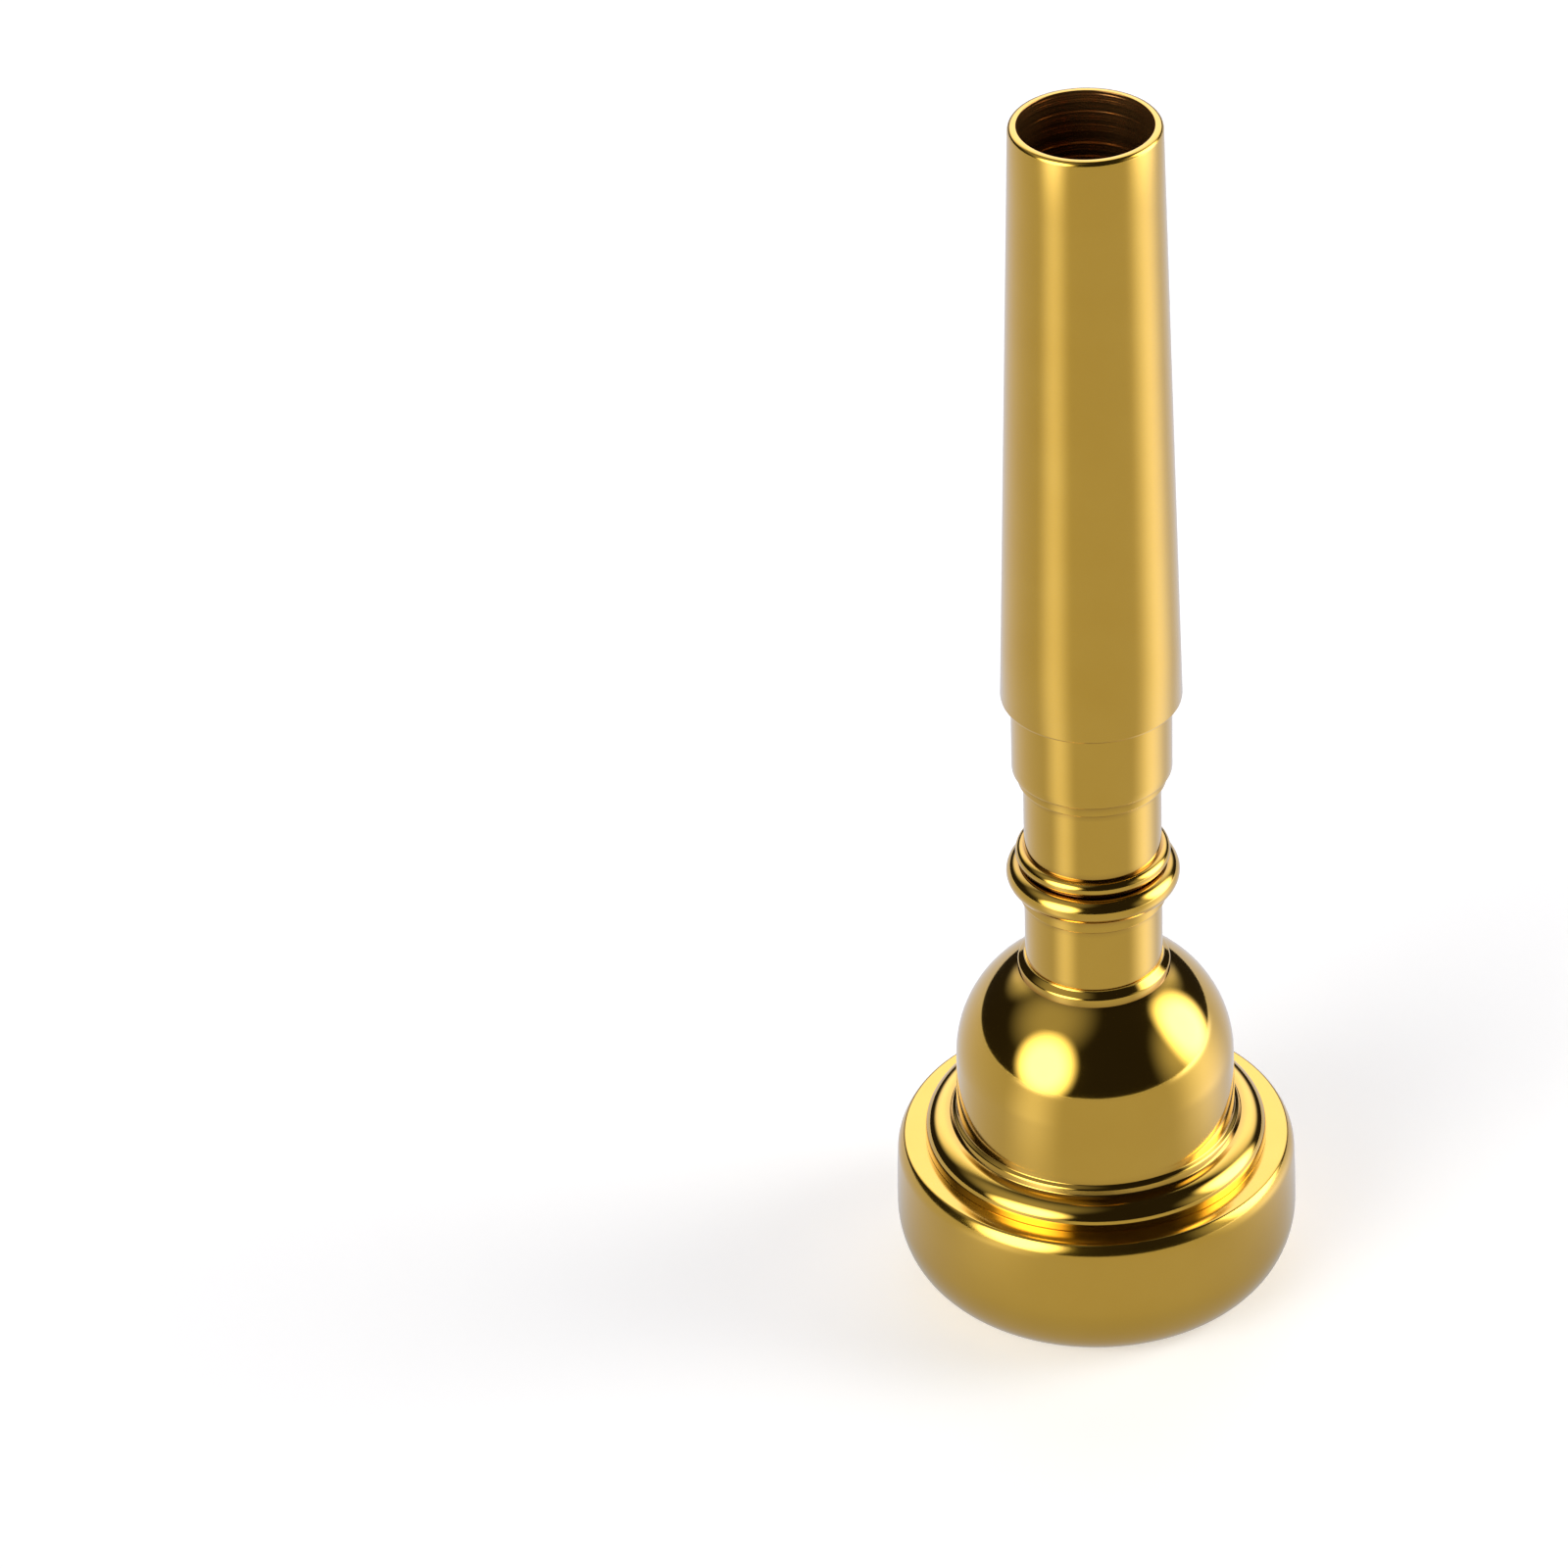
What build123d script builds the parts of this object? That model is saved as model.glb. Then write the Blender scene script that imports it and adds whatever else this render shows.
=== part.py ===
from build123d import *

import math
import os

# Trumpet mouthpiece of the screw-together kind, standing on its rim with the shank up.
#
# Millimetres. Z is the axis of every turned piece, and z = 0 is the plane that the rim's high point touches.
# From the bottom: the rim screws onto the cup, the stem screws into the cup, and a tapered sleeve slides
# over the stem's core tube. An O-ring seals each of the three joints.

# ---- Rim: crowned face, bite and outer band ----
rim_radius = 13.43
rim_widest_height = 4.6
rim_height = 10.05
crown_radius = 10.0
bite_radius = 8.1
bite_height = 1.3
band_top_radius = 13.33
corner_width = 0.48
corner_height = 1.2
rim_lip_thickness = 3.6

# ---- Cup: foot flange, bowl, collar and the hollow inside ----
foot_radius = 11.45
foot_edge_height = 0.5
foot_round_width = 1.4
foot_round_height = 1.2
foot_step_width = 0.41
foot_step_height = 0.45
foot_step_taper = 0.15
bowl_foot_radius = 9.34
bowl_foot_height = 2.3
bowl_radius = 9.26
bowl_wall_height = 4.2
bowl_shoulder_height = 7.2
collar_radius = 5.06
collar_band_height = 0.58
collar_bevel_height = 0.39
collar_lip_height = 0.08
collar_lip_margin = 0.07
cup_depth = 11.2
cup_rise = 2.6
cup_width_radius = 8.05
throat_radius = 1.83
throat_length = 4.0
throat_entry_fillet = 1.1
throat_lead_in = 0.3

# ---- Stem: neck, bead, stepped neck and core tube ----
neck_radius = 4.55
neck_length = 4.75
bead_sink = 0.05
bead_foot_radius = 4.85
bead_foot_height = 1.0
bead_ring_radius = 0.92
bead_reach = 5.71
small_bead_ring_radius = 0.52
small_bead_reach = 5.1
small_bead_spacing = 1.56
upper_neck_radius = 4.52
upper_neck_length = 5.8
ledge_step_radius = 4.9
ledge_step_height = 0.85
shoulder_radius = 5.25
shoulder_height = 5.55
core_radius = 4.4
core_length = 20.8

# ---- Sleeve: outside taper of the shank ----
sleeve_length = 42.3
shank_end_radius = 4.86
shank_taper = 1 / 20
shank_exit_radius = 4.3
shank_end_round = 0.28
sleeve_entry_chamfer = 0.2
backbore_flare = 0.8

# ---- Threads, pilots and seals ----
rim_thread_radius = 10.3
stem_thread_radius = 3.7
thread_depth = 0.43
thread_clearance = 0.05
mouth_chamfer = 0.3
stem_spigot_length = 5.85
pilot_length = 2.3
pilot_step = 0.06
pilot_clearance = 0.04
spigot_lead_in = 0.2
plain_bore_height = 1.05
end_gap = 0.05
sleeve_clearance = 0.03
rim_seal_section = 0.31
stem_seal_section = 0.22
sleeve_seal_section = 0.2
seal_clearance = 0.02
seal_side_gap = 0.08
seal_from_end = 0.75
sleeve_seal_height = 6.8

# ---- Heights that follow from the sizes above ----
cup_seat_z = rim_height
spigot_end_z = rim_lip_thickness + end_gap
foot_edge_z = cup_seat_z + foot_edge_height
foot_top_z = foot_edge_z + foot_round_height
bowl_foot_z = cup_seat_z + bowl_foot_height
shoulder_start_z = bowl_foot_z + bowl_wall_height
collar_z = shoulder_start_z + bowl_shoulder_height
collar_band_z = collar_z + collar_band_height
collar_bevel_z = collar_band_z + collar_bevel_height
stem_seat_z = collar_bevel_z + collar_lip_height
stem_spigot_end_z = stem_seat_z - stem_spigot_length
throat_end_z = cup_depth + throat_lead_in + throat_length
neck_top_z = stem_seat_z + neck_length
bead_z = neck_top_z + bead_foot_height + bead_ring_radius - bead_sink
small_bead_z = bead_z + small_bead_spacing
ledge_step_z = small_bead_z + upper_neck_length
shoulder_z = ledge_step_z + ledge_step_height
sleeve_base_z = shoulder_z + shoulder_height
sleeve_seal_z = sleeve_base_z + sleeve_seal_height
core_end_z = sleeve_base_z + core_length
shank_end_z = sleeve_base_z + sleeve_length

# ---- Radii that follow from the sizes above ----
ledge_radius = band_top_radius - corner_width
foot_step_radius = bowl_foot_radius + foot_step_width
collar_lip_radius = neck_radius + collar_lip_margin
shank_base_radius = shank_end_radius + sleeve_length * shank_taper / 2
sleeve_bore_radius = core_radius + sleeve_clearance
sleeve_seal_radius = sleeve_bore_radius - seal_clearance - sleeve_seal_section
sleeve_groove_floor = sleeve_seal_radius - sleeve_seal_section - seal_clearance


def cup_wall_radius(height):
    """Radius of the cup's wall at a height: the lower part of an ellipse with its centre on the axis."""
    rise = (height - cup_rise) / (cup_depth - cup_rise)
    return cup_width_radius * math.sqrt(1 - rise**2)


def backbore_radius(height):
    """Radius of the backbore, which opens quickly after the throat and then more slowly to the exit."""
    share = (height - throat_end_z) / (shank_end_z - throat_end_z)
    return throat_radius + (shank_exit_radius - throat_radius) * share**backbore_flare


class Screw:
    """Radii and heights of one screwed joint: a spigot that points down into a socket.

    The threads are plain cylinders here, at the spigot's crests and just clear of them in the socket.
    """

    def __init__(self, crest_radius, spigot_end, seat, seal_section):
        self.seat = seat
        self.spigot_end = spigot_end
        self.crest = crest_radius
        self.pilot = crest_radius - thread_depth - pilot_step
        self.thread_start = spigot_end + pilot_length
        self.socket_end = spigot_end - end_gap
        self.socket_bore = crest_radius + thread_clearance
        self.socket_pilot = self.pilot + pilot_clearance
        self.seal_z = spigot_end + seal_from_end
        self.seal_radius = self.socket_pilot - seal_clearance - seal_section
        self.groove_floor = self.seal_radius - seal_section - seal_clearance

    def spigot_points(self):
        """Outline of the spigot from its end face up to the seat."""
        return [
            (self.pilot - spigot_lead_in, self.spigot_end),
            (self.pilot, self.spigot_end + spigot_lead_in),
            (self.pilot, self.thread_start),
            (self.crest, self.thread_start + self.crest - self.pilot),
            (self.crest, self.seat),
        ]

    def socket_points(self):
        """Outline of the socket from the seat down to its floor."""
        step_z = self.thread_start - plain_bore_height
        return [
            (self.socket_bore + mouth_chamfer, self.seat),
            (self.socket_bore, self.seat - mouth_chamfer),
            (self.socket_bore, step_z + self.socket_bore - self.socket_pilot),
            (self.socket_pilot, step_z),
            (self.socket_pilot, self.socket_end),
        ]


def seal_groove(radius, floor, height, section):
    """Cut the square groove of an O-ring out of the sketch that is being drawn."""
    with Locations(((radius + floor) / 2, height)):
        Rectangle(radius - floor, 2 * (section + seal_side_gap), mode=Mode.SUBTRACT)


def seal_ring(radius, height, section, label):
    """O-ring of a round section, lying in its groove."""
    with BuildPart() as ring:
        with BuildSketch(Plane.XZ):
            with Locations((radius, height)):
                Circle(section)
        revolve(axis=Axis.Z)
    ring.part.label = label
    return ring.part


rim_screw = Screw(rim_thread_radius, spigot_end_z, cup_seat_z, rim_seal_section)
stem_screw = Screw(stem_thread_radius, stem_spigot_end_z, stem_seat_z, stem_seal_section)

# ---- Rim ----
with BuildPart() as rim:
    with BuildSketch(Plane.XZ):
        with BuildLine():
            face = EllipticalCenterArc(
                (crown_radius, rim_widest_height),
                rim_radius - crown_radius,
                rim_widest_height,
                start_angle=270,
                arc_size=90,
            )
            band = TangentArc(face @ 1, (band_top_radius, rim_height - corner_height), tangent=(0, 1))
            corner = TangentArc(band @ 1, (ledge_radius, rim_height), tangent=band % 1)
            Polyline(
                corner @ 1,
                *rim_screw.socket_points(),
                (cup_wall_radius(rim_lip_thickness), rim_screw.socket_end),
                (bite_radius, bite_height),
            )
            EllipticalCenterArc(
                (crown_radius, bite_height),
                crown_radius - bite_radius,
                bite_height,
                start_angle=180,
                arc_size=90,
            )
        make_face()
    revolve(axis=Axis.Z)
rim.part.label = "rim"

# ---- Cup ----
with BuildPart() as cup:
    with BuildSketch(Plane.XZ):
        with BuildLine():
            foot = Polyline(
                (throat_radius, spigot_end_z),
                *rim_screw.spigot_points(),
                (foot_radius, cup_seat_z),
                (foot_radius, foot_edge_z),
            )
            foot_round = EllipticalCenterArc(
                (foot_radius - foot_round_width, foot_edge_z),
                foot_round_width,
                foot_round_height,
                start_angle=0,
                arc_size=90,
            )
            wall = Polyline(
                foot_round @ 1,
                (foot_step_radius, foot_top_z),
                (foot_step_radius - foot_step_taper, foot_top_z + foot_step_height),
                (bowl_foot_radius, bowl_foot_z),
                (bowl_radius, shoulder_start_z),
            )
            shoulder = TangentArc(wall @ 1, (collar_radius, collar_z), tangent=(0, 1))
            Polyline(
                shoulder @ 1,
                (collar_radius, collar_band_z),
                (collar_lip_radius, collar_bevel_z),
                (collar_lip_radius, stem_seat_z),
                *stem_screw.socket_points(),
                (backbore_radius(stem_screw.socket_end), stem_screw.socket_end),
                (throat_radius, throat_end_z),
                (throat_radius, spigot_end_z),
            )
        make_face()
        seal_groove(rim_screw.pilot, rim_screw.groove_floor, rim_screw.seal_z, rim_seal_section)
        with Locations((0, cup_rise)):
            Ellipse(cup_width_radius, cup_depth - cup_rise, mode=Mode.SUBTRACT)
    revolve(axis=Axis.Z)
    throat_edges = cup.edges().filter_by(GeomType.CIRCLE).filter_by(
        lambda edge: math.isclose(edge.radius, throat_radius)
    )
    throat_entry = throat_edges.sort_by(Axis.Z)[0]
    fillet(throat_entry, throat_entry_fillet)
cup.part.label = "cup"

# ---- Stem ----
with BuildPart() as backbore:
    with BuildSketch(Plane.XZ):
        with BuildLine():
            outside = Polyline(
                *stem_screw.spigot_points(),
                (neck_radius, stem_seat_z),
                (neck_radius, neck_top_z),
                (bead_foot_radius, neck_top_z),
                (bead_foot_radius, neck_top_z + bead_foot_height),
                (upper_neck_radius, bead_z),
                (upper_neck_radius, ledge_step_z),
                (ledge_step_radius, ledge_step_z),
                (ledge_step_radius, shoulder_z),
                (shoulder_radius, shoulder_z),
                (shoulder_radius, sleeve_base_z),
                (core_radius, sleeve_base_z),
                (core_radius, core_end_z),
                (backbore_radius(core_end_z), core_end_z),
            )
            bore_middle_z = (core_end_z + stem_spigot_end_z) / 2
            bore = ThreePointArc(
                outside @ 1,
                (backbore_radius(bore_middle_z), bore_middle_z),
                (backbore_radius(stem_spigot_end_z), stem_spigot_end_z),
            )
            Line(bore @ 1, outside @ 0)
        make_face()
        with Locations((bead_reach - bead_ring_radius, bead_z)):
            Circle(bead_ring_radius)
        with Locations((small_bead_reach - small_bead_ring_radius, small_bead_z)):
            Circle(small_bead_ring_radius)
        seal_groove(stem_screw.pilot, stem_screw.groove_floor, stem_screw.seal_z, stem_seal_section)
        seal_groove(core_radius, sleeve_groove_floor, sleeve_seal_z, sleeve_seal_section)
    revolve(axis=Axis.Z)
backbore.part.label = "backbore"

# ---- Sleeve ----
with BuildPart() as shank_sleeve:
    with BuildSketch(Plane.XZ):
        with BuildLine():
            sleeve_shoulder_z = core_end_z + end_gap
            tube = Polyline(
                (sleeve_bore_radius + sleeve_entry_chamfer, sleeve_base_z),
                (shank_base_radius, sleeve_base_z),
                (shank_end_radius, shank_end_z),
                (shank_exit_radius, shank_end_z),
            )
            exit_middle_z = (sleeve_shoulder_z + shank_end_z) / 2
            flare = ThreePointArc(
                tube @ 1,
                (backbore_radius(exit_middle_z), exit_middle_z),
                (backbore_radius(sleeve_shoulder_z), sleeve_shoulder_z),
            )
            Polyline(
                flare @ 1,
                (sleeve_bore_radius, sleeve_shoulder_z),
                (sleeve_bore_radius, sleeve_base_z + sleeve_entry_chamfer),
                tube @ 0,
            )
        make_face()
    revolve(axis=Axis.Z)
    end_edge = shank_sleeve.edges().group_by(Axis.Z)[-1].sort_by(SortBy.RADIUS)[-1]
    fillet(end_edge, shank_end_round)
shank_sleeve.part.label = "shank_sleeve"

# ---- Seals ----
rim_seal = seal_ring(rim_screw.seal_radius, rim_screw.seal_z, rim_seal_section, "rim_seal")
stem_seal = seal_ring(stem_screw.seal_radius, stem_screw.seal_z, stem_seal_section, "stem_seal")
sleeve_seal = seal_ring(sleeve_seal_radius, sleeve_seal_z, sleeve_seal_section, "sleeve_seal")

os.makedirs("parts", exist_ok=True)
pieces = [rim.part, cup.part, backbore.part, shank_sleeve.part, rim_seal, stem_seal, sleeve_seal]
for piece in pieces:
    export_step(piece, f"parts/{piece.label}.step")
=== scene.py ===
import logging
import math
from collections.abc import Callable
from dataclasses import dataclass, field
from enum import Enum

import bpy
from mathutils import Matrix, Vector


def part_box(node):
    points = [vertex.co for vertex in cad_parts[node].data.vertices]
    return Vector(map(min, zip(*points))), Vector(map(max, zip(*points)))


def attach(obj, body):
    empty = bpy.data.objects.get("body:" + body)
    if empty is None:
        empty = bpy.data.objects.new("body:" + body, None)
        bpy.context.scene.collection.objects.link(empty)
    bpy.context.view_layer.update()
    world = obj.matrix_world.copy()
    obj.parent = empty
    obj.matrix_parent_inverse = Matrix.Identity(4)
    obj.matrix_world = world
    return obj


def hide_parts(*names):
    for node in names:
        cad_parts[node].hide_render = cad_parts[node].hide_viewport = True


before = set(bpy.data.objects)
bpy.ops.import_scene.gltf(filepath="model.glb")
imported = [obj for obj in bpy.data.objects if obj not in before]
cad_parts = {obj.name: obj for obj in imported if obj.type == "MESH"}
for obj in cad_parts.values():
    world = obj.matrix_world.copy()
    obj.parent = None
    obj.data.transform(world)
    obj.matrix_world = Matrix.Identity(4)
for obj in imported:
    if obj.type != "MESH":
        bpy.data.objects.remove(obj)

log = logging.getLogger("mouthpiece")

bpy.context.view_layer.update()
MM = 0.001

# How finely the pieces are drawn and turned.
TURN_STEPS = 160
SEAL_STEPS = 24
ARC_STEP_DEG = 3.0
ARC_CHORD_MM = 0.3
LONG_EDGE_MM = 0.35
LONG_EDGE_CUTS = 9
SAME_POINT_MM = 0.0005
SMOOTH_DEG = 35.0

# How sharp edges are broken, and how squarely a face of the bore looks at the axis at the least.
EDGE_BREAK_MM = 0.03
EASE_SEGMENTS = 4
INWARD_SHARE = 0.25

Point = tuple[float, float]
Colour = tuple[float, float, float, float]
Feed = bpy.types.NodeSocket | Colour | float

UP: Point = (0.0, 1.0)
DOWN: Point = (0.0, -1.0)
CENTRE = (0.0, 0.0, 0.0)
WHITE: Colour = (1.0, 1.0, 1.0, 1.0)

# Where the Mix node has its two colours and their mix.
MIX_FIRST, MIX_SECOND, MIX_RESULT = 6, 7, 2


class Side(Enum):
    """Which way a face of a turned piece looks, and its material slot's number."""

    OUTSIDE = 0
    BORE = 1


class Slot(Enum):
    """The record's material slots."""

    GOLD = "gold_brass"
    RUBBER = "black_rubber"


# ---------------------------------------------------------------------------
# Finishes
# ---------------------------------------------------------------------------


class NodeSheet:
    """A short way to lay out and link the nodes of a material or a world."""

    def __init__(
        self, owner: bpy.types.Material | bpy.types.World, output: str = "OutputMaterial"
    ) -> None:
        """Give the owner empty nodes.

        Args:
            owner: the material or the world.
            output: type of its output node, without the ShaderNode prefix.
        """
        self.owner = owner
        self.owner.use_nodes = True
        self.nodes = owner.node_tree.nodes
        self.links = owner.node_tree.links
        self.nodes.clear()
        self.output = self.add(output)

    def add(self, kind: str, **inputs: Feed) -> bpy.types.Node:
        """Add a node and set or link its inputs.

        Args:
            kind: the node's type without its ShaderNode prefix.
            **inputs: values or source sockets, by input name with spaces as underscores.

        Returns:
            The new node.
        """
        node = self.nodes.new(f"ShaderNode{kind}")
        for name, value in inputs.items():
            self.feed(node.inputs[name.replace("_", " ")], value)
        return node

    def feed(self, socket: bpy.types.NodeSocket, value: Feed) -> None:
        """Link a socket to a source socket, or set it to a value.

        Args:
            socket: the input socket.
            value: the source socket or the value.
        """
        if isinstance(value, bpy.types.NodeSocket):
            self.links.new(value, socket)
        else:
            socket.default_value = value

    def math(self, operation: str, first: Feed, second: Feed = 0.0) -> bpy.types.NodeSocket:
        """Work out a sum, product or other operation.

        Args:
            operation: the Math node's operation.
            first: its first number.
            second: its second number.

        Returns:
            The result.
        """
        node = self.add("Math")
        node.operation = operation
        self.feed(node.inputs[0], first)
        self.feed(node.inputs[1], second)
        return node.outputs[0]

    def spread(self, value: Feed, low: float, high: float) -> bpy.types.NodeSocket:
        """Map a value from 0-1 to low-high."""
        return self.add("MapRange", Value=value, To_Min=low, To_Max=high).outputs[0]

    def fade(self, value: Feed, whole: float, gone: float) -> bpy.types.NodeSocket:
        """Map a value smoothly to a share.

        Args:
            value: the value.
            whole: where the share is 1.
            gone: where the share is 0.

        Returns:
            The share.
        """
        node = self.add(
            "MapRange", Value=value, From_Min=whole, From_Max=gone, To_Min=1.0, To_Max=0.0
        )
        node.interpolation_type = "SMOOTHSTEP"
        return node.outputs[0]

    def length(self, vector: bpy.types.NodeSocket) -> bpy.types.NodeSocket:
        """Measure a vector.

        Args:
            vector: the vector's socket.

        Returns:
            Its length.
        """
        node = self.add("VectorMath")
        node.operation = "LENGTH"
        self.links.new(vector, node.inputs[0])
        return node.outputs["Value"]

    def place(self) -> bpy.types.NodeSocket:
        """Where a point of the surface is in its object's own frame."""
        return self.add("TexCoord").outputs["Object"]

    def seen(self) -> bpy.types.NodeSocket:
        """Tell the rays that show the background from those that light the object.

        Returns:
            1 for the camera's own rays and for those that metal or glass sends on, else 0.
        """
        path = self.add("LightPath")
        eye_or_metal = self.math(
            "MAXIMUM", path.outputs["Is Camera Ray"], path.outputs["Is Glossy Ray"]
        )
        return self.math("MAXIMUM", eye_or_metal, path.outputs["Is Transmission Ray"])

    def join(
        self, kind: str, first: bpy.types.Node, second: bpy.types.Node, share: Feed | None = None
    ) -> bpy.types.Node:
        """Add or mix two shaders.

        Args:
            kind: AddShader or MixShader.
            first: the first shader.
            second: the second shader.
            share: how much of the second one a mix takes.

        Returns:
            The joining node.
        """
        node = self.add(kind)
        if share is not None:
            self.feed(node.inputs[0], share)
        self.links.new(first.outputs[0], node.inputs[-2])
        self.links.new(second.outputs[0], node.inputs[-1])
        return node

    def mix(self, share: Feed, first: Feed, second: Feed) -> bpy.types.NodeSocket:
        """Mix two colours.

        Args:
            share: how much of the second colour the mix takes.
            first: the first colour.
            second: the second colour.

        Returns:
            The mixed colour.
        """
        node = self.add("Mix")
        node.data_type = "RGBA"
        self.feed(node.inputs[0], share)
        self.feed(node.inputs[MIX_FIRST], first)
        self.feed(node.inputs[MIX_SECOND], second)
        return node.outputs[MIX_RESULT]

    def lathe_lines(self, per_metre: float) -> bpy.types.NodeSocket:
        """Fine rings round the axis, which vary with height and with radius.

        Args:
            per_metre: how many lines there are along a metre.

        Returns:
            The rings' height, from 0 to 1.
        """
        axes = self.add("SeparateXYZ", Vector=self.place())
        flat = self.add("CombineXYZ", X=axes.outputs[0], Y=axes.outputs[1])
        along = self.math("ADD", axes.outputs[2], self.length(flat.outputs[0]))
        noise = self.add("TexNoise", Scale=1.0, Detail=2.0)
        noise.noise_dimensions = "1D"
        self.feed(noise.inputs["W"], self.math("MULTIPLY", along, per_metre))
        return noise.outputs[0]

    def mottle(self, per_metre: float, detail: float = 3.0) -> bpy.types.NodeSocket:
        """Soft cloudy variation over the surface, from 0 to 1."""
        noise = self.add("TexNoise", Vector=self.place(), Scale=per_metre, Detail=detail)
        return noise.outputs[0]

    def finish(self, shader: bpy.types.Node) -> bpy.types.Material | bpy.types.World:
        """Link the shader to the output and return the material or world."""
        self.links.new(shader.outputs[0], self.output.inputs["Surface"])
        return self.owner


@dataclass(frozen=True)
class PolishedGold:
    """Gold plate over turned and buffed brass, under a thin clear lacquer."""

    name: str
    roughness_low: float
    roughness_high: float
    gold: Colour = (0.765, 0.478, 0.058, 1.0)
    deep_gold: Colour = (0.715, 0.43, 0.04, 1.0)
    clouds_per_metre: float = 260.0
    smudges_per_metre: float = 900.0
    smudge_detail: float = 6.0
    smudge_share: float = 0.7
    # painted shade: the dark colour that the inner corners take
    corner_shade: Colour = (0.22, 0.1, 0.016, 1.0)
    corner_reach: float = 0.0006
    corner_strength: float = 1.6
    lacquer: float = 0.8
    lacquer_roughness: float = 0.06
    lines_per_metre: float = 9000.0
    line_height: float = 0.0000012
    line_strength: float = 0.12

    def shade_corners(self, sheet: NodeSheet, plating: bpy.types.NodeSocket) -> bpy.types.NodeSocket:
        """Darken the plating in the piece's own inner corners with painted shade, from an
        ambient-occlusion node.

        Args:
            sheet: the material's nodes.
            plating: the plating's colour.

        Returns:
            The colour with the painted corner shade.
        """
        # painted shade: ambient occlusion darkens the plating in the inner corners
        corners = sheet.add("AmbientOcclusion", Distance=self.corner_reach)
        corners.only_local = True
        unshaded = sheet.math("POWER", corners.outputs["AO"], self.corner_strength)
        return sheet.mix(unshaded, self.corner_shade, plating)

    def build(self) -> bpy.types.Material:
        """Make the material.

        Returns:
            The node material.
        """
        sheet = NodeSheet(bpy.data.materials.new(self.name))
        lines = sheet.lathe_lines(self.lines_per_metre)
        clouds = sheet.mottle(self.clouds_per_metre)
        smudges = sheet.mottle(self.smudges_per_metre, self.smudge_detail)
        plating = sheet.mix(clouds, self.gold, self.deep_gold)
        wear = sheet.math(
            "ADD",
            sheet.math("MULTIPLY", smudges, self.smudge_share),
            sheet.math("MULTIPLY", lines, 1.0 - self.smudge_share),
        )
        bump = sheet.add(
            "Bump", Strength=self.line_strength, Distance=self.line_height, Height=lines
        )
        shader = sheet.add(
            "BsdfPrincipled",
            Base_Color=self.shade_corners(sheet, plating),
            Metallic=1.0,
            Roughness=sheet.spread(wear, self.roughness_low, self.roughness_high),
            Normal=bump.outputs[0],
            Coat_Weight=self.lacquer,
            Coat_Roughness=self.lacquer_roughness,
        )
        return sheet.finish(shader)


@dataclass(frozen=True)
class BoredBrass:
    """The dull, reamed inside of the bore, with the tool's rings and some brown tarnish."""

    name: str
    brass: Colour = (0.52, 0.27, 0.08, 1.0)
    tarnish: Colour = (0.18, 0.08, 0.026, 1.0)
    metal: float = 0.9
    roughness_low: float = 0.13
    roughness_high: float = 0.24
    clouds_per_metre: float = 420.0
    rings_per_metre: float = 1500.0
    ring_depth: float = 0.00017

    def build(self) -> bpy.types.Material:
        """Make the material.

        Returns:
            The node material.
        """
        sheet = NodeSheet(bpy.data.materials.new(self.name))
        rings = sheet.lathe_lines(self.rings_per_metre)
        clouds = sheet.mottle(self.clouds_per_metre)
        bump = sheet.add("Bump", Strength=1.0, Distance=self.ring_depth, Height=rings)
        shader = sheet.add(
            "BsdfPrincipled",
            Base_Color=sheet.mix(clouds, self.brass, self.tarnish),
            Metallic=self.metal,
            Roughness=sheet.spread(clouds, self.roughness_low, self.roughness_high),
            Normal=bump.outputs[0],
        )
        return sheet.finish(shader)


@dataclass(frozen=True)
class MouldedRubber:
    """Black rubber of the O-rings, with a slight bloom."""

    name: str
    black: Colour = (0.018, 0.018, 0.019, 1.0)
    bloom: Colour = (0.05, 0.05, 0.052, 1.0)
    roughness_low: float = 0.38
    roughness_high: float = 0.55
    grains_per_metre: float = 1800.0
    grain_height: float = 0.00001
    grain_strength: float = 0.3

    def build(self) -> bpy.types.Material:
        """Make the material.

        Returns:
            The node material.
        """
        sheet = NodeSheet(bpy.data.materials.new(self.name))
        grain = sheet.mottle(self.grains_per_metre)
        bump = sheet.add(
            "Bump", Strength=self.grain_strength, Distance=self.grain_height, Height=grain
        )
        shader = sheet.add(
            "BsdfPrincipled",
            Base_Color=sheet.mix(grain, self.black, self.bloom),
            Roughness=sheet.spread(grain, self.roughness_low, self.roughness_high),
            Normal=bump.outputs[0],
        )
        return sheet.finish(shader)


def once(recipe: PolishedGold | BoredBrass | MouldedRubber) -> bpy.types.Material:
    """A field that makes its material when the finishes are made."""
    return field(default_factory=recipe.build)


@dataclass
class Finishes:
    """Every material of the object, made once."""

    shank_gold: bpy.types.Material = once(PolishedGold("shank_gold", 0.13, 0.2))
    neck_gold: bpy.types.Material = once(PolishedGold("neck_gold", 0.08, 0.13))
    bowl_gold: bpy.types.Material = once(PolishedGold("bowl_gold", 0.06, 0.1))
    rim_gold: bpy.types.Material = once(PolishedGold("rim_gold", 0.11, 0.18))
    bored_brass: bpy.types.Material = once(BoredBrass("bored_brass"))
    rubber: bpy.types.Material = once(MouldedRubber("black_rubber"))


# ---------------------------------------------------------------------------
# Turning
# ---------------------------------------------------------------------------


def deselect_all() -> None:
    """Leave object mode with nothing selected."""
    if bpy.context.object is not None and bpy.context.object.mode != "OBJECT":
        bpy.ops.object.mode_set(mode="OBJECT")
    bpy.ops.object.select_all(action="DESELECT")


def make_active(piece: bpy.types.Object) -> None:
    """Select only this piece and make it the active one.

    Args:
        piece: the piece.
    """
    deselect_all()
    piece.select_set(True)
    bpy.context.view_layer.objects.active = piece


def begin(name: str) -> bpy.types.Object:
    """Name the primitive that was just added, and its mesh.

    Args:
        name: the piece's name.

    Returns:
        The piece.
    """
    piece = bpy.context.object
    piece.name = name
    piece.data.name = name
    return piece


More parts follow.
